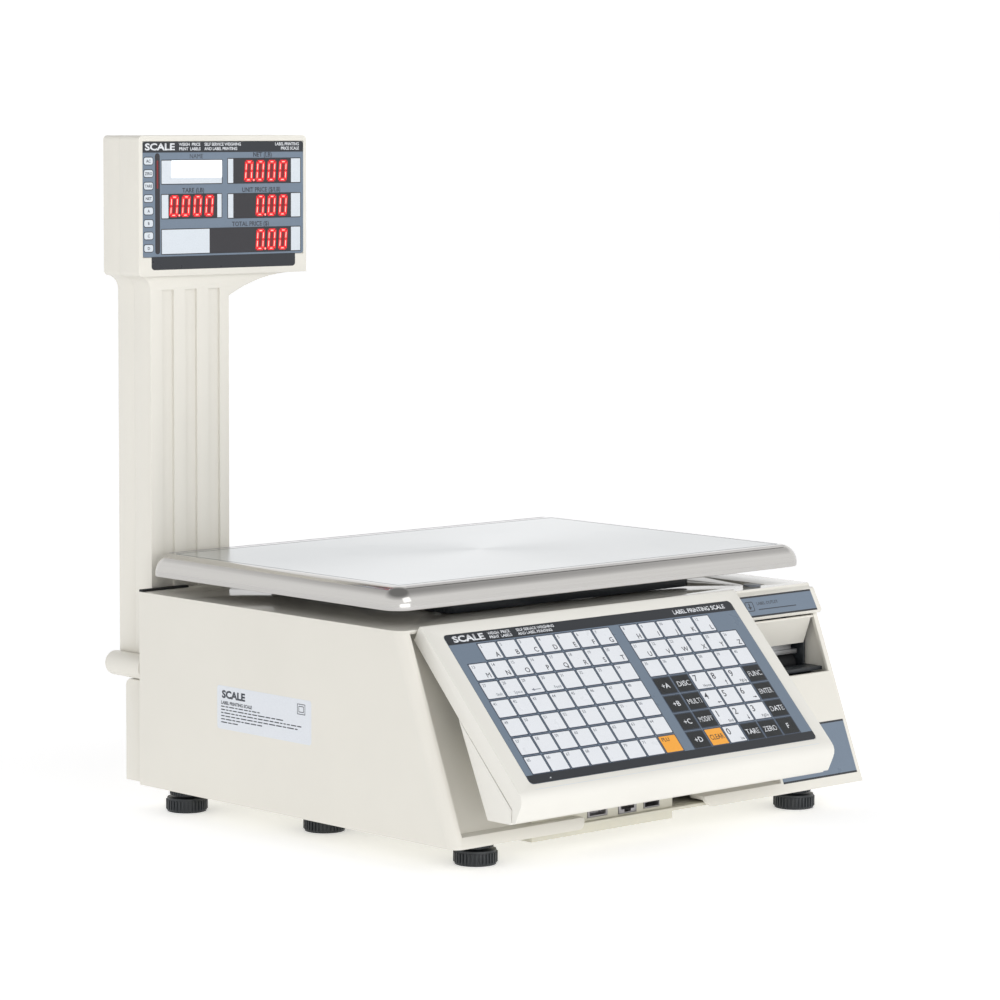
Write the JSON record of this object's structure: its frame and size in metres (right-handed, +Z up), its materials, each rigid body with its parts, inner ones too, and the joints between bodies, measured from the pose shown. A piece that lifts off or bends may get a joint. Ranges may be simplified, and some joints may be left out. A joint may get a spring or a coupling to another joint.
{
  "type": "label printing scale",
  "caption": "Shop scale with a steel pan, sloped flat keyboard, price display on a rear column and a label printer in the right side of its base.",
  "frame": {"origin": "on the table, under the middle of the machine's outline", "axes": "+X to the operator's right, +Y to the back, +Z up"},
  "size_m": [0.382, 0.4049, 0.4565],
  "materials": {
    "cream_shell": "fine satin moulded ABS",
    "chassis_plastic": "matte moulded plastic",
    "keypad_print": "satin printed polyester film",
    "circuit_board": "green solder mask",
    "socket_metal": "plain zinc-plated steel",
    "black_plastic": "moulded black plastic",
    "cast_aluminium": "cast and milled",
    "black_paint": "satin black paint",
    "rubber_black": "matte rubber",
    "pan_steel": "fine brushed stainless steel",
    "level_liquid": "clear vial with yellow-green liquid",
    "display_print": "printed acrylic with lit digits",
    "motor_steel": "plated motor can",
    "brass": "machined",
    "label_paper": "thermal label paper on its liner",
    "key_white": "printed film",
    "key_dark": "printed film",
    "key_orange": "printed film"
  },
  "bodies": {
    "base": {"housing_cover": "cream_shell", "rear_panel": "cream_shell", "keyboard_bezel": "cream_shell", "keyboard_tray": "cream_shell", "column_front": "cream_shell", "column_back": "cream_shell", "chassis_plate": "chassis_plastic", "keypad_overlay": "keypad_print", "keypad_board": "circuit_board", "main_board": "circuit_board", "display_board": "circuit_board", "data_ports": "socket_metal", "case_screws": "socket_metal", "power_supply": "socket_metal", "power_inlet": "black_plastic", "printer_frame": "black_plastic", "foot_lock_nuts": "black_plastic", "load_cell": "cast_aluminium", "load_spider": "cast_aluminium", "pan_support": "black_paint", "support_pads": "rubber_black", "spirit_level": "level_liquid", "display_window": "display_print", "customer_window": "display_print", "printer_motor": "motor_steel"},
    "pan": {"weighing_pan": "pan_steel"},
    "knob": {"column_knob": "cream_shell"},
    "switch": {"power_switch": "black_plastic"},
    "door": {"printer_door": "cream_shell"},
    "flap": {"paper_flap": "cream_shell"},
    "platen": {"platen_roller": "rubber_black"},
    "pinion": {"motor_pinion": "brass"},
    "head": {"print_head": "cast_aluminium"},
    "roll": {"label_roll": "label_paper"},
    "spool": {"liner_spool": "black_plastic"},
    "foot_front_left": {"foot_front_left": "black_plastic"},
    "foot_front_right": {"foot_front_right": "black_plastic"},
    "foot_middle_left": {"foot_middle_left": "black_plastic"},
    "foot_middle_right": {"foot_middle_right": "black_plastic"},
    "foot_rear_left": {"foot_rear_left": "black_plastic"},
    "foot_rear_right": {"foot_rear_right": "black_plastic"},
    "key_7": {"key_7": "key_white"},
    "key_8": {"key_8": "key_white"},
    "key_9": {"key_9": "key_white"},
    "key_4": {"key_4": "key_white"},
    "key_5": {"key_5": "key_white"},
    "key_6": {"key_6": "key_white"},
    "key_1": {"key_1": "key_white"},
    "key_2": {"key_2": "key_white"},
    "key_3": {"key_3": "key_white"},
    "key_0": {"key_0": "key_white"},
    "key_discount": {"key_discount": "key_dark"},
    "key_multiply": {"key_multiply": "key_dark"},
    "key_modify": {"key_modify": "key_dark"},
    "key_clear": {"key_clear": "key_orange"},
    "key_tare": {"key_tare": "key_dark"},
    "key_zero": {"key_zero": "key_dark"},
    "key_function": {"key_function": "key_dark"},
    "key_enter": {"key_enter": "key_dark"},
    "key_date": {"key_date": "key_dark"}
  },
  "joints": [
    {"name": "pan_lift", "type": "slide", "parent": "base", "child": "pan", "axis": [0, 0, 1], "range_m": [0, 0.06]},
    {"name": "knob_turn", "type": "hinge", "parent": "base", "child": "knob", "pos_m": [-0.1825, 0.18, 0.096], "axis": [0, 1, 0], "continuous": true},
    {"name": "switch_rock", "type": "hinge", "parent": "base", "child": "switch", "pos_m": [0.092, 0.18, 0.052], "axis": [1, 0, 0], "range_deg": [0, 16]},
    {"name": "door_swing", "type": "hinge", "parent": "base", "child": "door", "pos_m": [0.18975, 0.06045, 0.083], "axis": [0, 0, 1], "range_deg": [0, 100]},
    {"name": "flap_swing", "type": "hinge", "parent": "base", "child": "flap", "pos_m": [0.15, -0.1123, 0.1268], "axis": [-1, 0, 0], "range_deg": [0, 70]},
    {"name": "platen_turn", "type": "hinge", "parent": "base", "child": "platen", "pos_m": [0.15, -0.092, 0.092], "axis": [1, 0, 0], "continuous": true},
    {"name": "pinion_turn", "type": "hinge", "parent": "base", "child": "pinion", "pos_m": [0.112, -0.074, 0.092], "axis": [1, 0, 0], "continuous": true},
    {"name": "head_lift", "type": "hinge", "parent": "base", "child": "head", "pos_m": [0.15, -0.066, 0.113], "axis": [-1, 0, 0], "range_deg": [0, 20]},
    {"name": "roll_turn", "type": "hinge", "parent": "base", "child": "roll", "pos_m": [0.15, 0.012, 0.078], "axis": [1, 0, 0], "continuous": true},
    {"name": "spool_turn", "type": "hinge", "parent": "base", "child": "spool", "pos_m": [0.15, -0.052, 0.046], "axis": [1, 0, 0], "continuous": true},
    {"name": "foot_front_left_screw", "type": "slide", "parent": "base", "child": "foot_front_left", "axis": [0, 0, -1], "range_m": [-0.001, 0.006]},
    {"name": "foot_front_right_screw", "type": "slide", "parent": "base", "child": "foot_front_right", "axis": [0, 0, -1], "range_m": [-0.001, 0.006]},
    {"name": "foot_middle_left_screw", "type": "slide", "parent": "base", "child": "foot_middle_left", "axis": [0, 0, -1], "range_m": [-0.001, 0.006]},
    {"name": "foot_middle_right_screw", "type": "slide", "parent": "base", "child": "foot_middle_right", "axis": [0, 0, -1], "range_m": [-0.001, 0.006]},
    {"name": "foot_rear_left_screw", "type": "slide", "parent": "base", "child": "foot_rear_left", "axis": [0, 0, -1], "range_m": [-0.001, 0.006]},
    {"name": "foot_rear_right_screw", "type": "slide", "parent": "base", "child": "foot_rear_right", "axis": [0, 0, -1], "range_m": [-0.001, 0.006]},
    {"name": "key_7_press", "type": "slide", "parent": "base", "child": "key_7", "axis": [0, 0.7192, -0.6948], "range_m": [0, 0.0004], "stiffness_N_per_m": 1500},
    {"name": "key_8_press", "type": "slide", "parent": "base", "child": "key_8", "axis": [0, 0.7192, -0.6948], "range_m": [0, 0.0004], "stiffness_N_per_m": 1500},
    {"name": "key_9_press", "type": "slide", "parent": "base", "child": "key_9", "axis": [0, 0.7192, -0.6948], "range_m": [0, 0.0004], "stiffness_N_per_m": 1500},
    {"name": "key_4_press", "type": "slide", "parent": "base", "child": "key_4", "axis": [0, 0.7192, -0.6948], "range_m": [0, 0.0004], "stiffness_N_per_m": 1500},
    {"name": "key_5_press", "type": "slide", "parent": "base", "child": "key_5", "axis": [0, 0.7192, -0.6948], "range_m": [0, 0.0004], "stiffness_N_per_m": 1500},
    {"name": "key_6_press", "type": "slide", "parent": "base", "child": "key_6", "axis": [0, 0.7192, -0.6948], "range_m": [0, 0.0004], "stiffness_N_per_m": 1500},
    {"name": "key_1_press", "type": "slide", "parent": "base", "child": "key_1", "axis": [0, 0.7192, -0.6948], "range_m": [0, 0.0004], "stiffness_N_per_m": 1500},
    {"name": "key_2_press", "type": "slide", "parent": "base", "child": "key_2", "axis": [0, 0.7192, -0.6948], "range_m": [0, 0.0004], "stiffness_N_per_m": 1500},
    {"name": "key_3_press", "type": "slide", "parent": "base", "child": "key_3", "axis": [0, 0.7192, -0.6948], "range_m": [0, 0.0004], "stiffness_N_per_m": 1500},
    {"name": "key_0_press", "type": "slide", "parent": "base", "child": "key_0", "axis": [0, 0.7192, -0.6948], "range_m": [0, 0.0004], "stiffness_N_per_m": 1500},
    {"name": "key_discount_press", "type": "slide", "parent": "base", "child": "key_discount", "axis": [0, 0.7192, -0.6948], "range_m": [0, 0.0004], "stiffness_N_per_m": 1500},
    {"name": "key_multiply_press", "type": "slide", "parent": "base", "child": "key_multiply", "axis": [0, 0.7192, -0.6948], "range_m": [0, 0.0004], "stiffness_N_per_m": 1500},
    {"name": "key_modify_press", "type": "slide", "parent": "base", "child": "key_modify", "axis": [0, 0.7192, -0.6948], "range_m": [0, 0.0004], "stiffness_N_per_m": 1500},
    {"name": "key_clear_press", "type": "slide", "parent": "base", "child": "key_clear", "axis": [0, 0.7192, -0.6948], "range_m": [0, 0.0004], "stiffness_N_per_m": 1500},
    {"name": "key_tare_press", "type": "slide", "parent": "base", "child": "key_tare", "axis": [0, 0.7192, -0.6948], "range_m": [0, 0.0004], "stiffness_N_per_m": 1500},
    {"name": "key_zero_press", "type": "slide", "parent": "base", "child": "key_zero", "axis": [0, 0.7192, -0.6948], "range_m": [0, 0.0004], "stiffness_N_per_m": 1500},
    {"name": "key_function_press", "type": "slide", "parent": "base", "child": "key_function", "axis": [0, 0.7192, -0.6948], "range_m": [0, 0.0004], "stiffness_N_per_m": 1500},
    {"name": "key_enter_press", "type": "slide", "parent": "base", "child": "key_enter", "axis": [0, 0.7192, -0.6948], "range_m": [0, 0.0004], "stiffness_N_per_m": 1500},
    {"name": "key_date_press", "type": "slide", "parent": "base", "child": "key_date", "axis": [0, 0.7192, -0.6948], "range_m": [0, 0.0004], "stiffness_N_per_m": 1500}
  ],
  "couplings": [
    {"joint": "pinion_turn", "follows": "platen_turn", "ratio": -2}
  ]
}
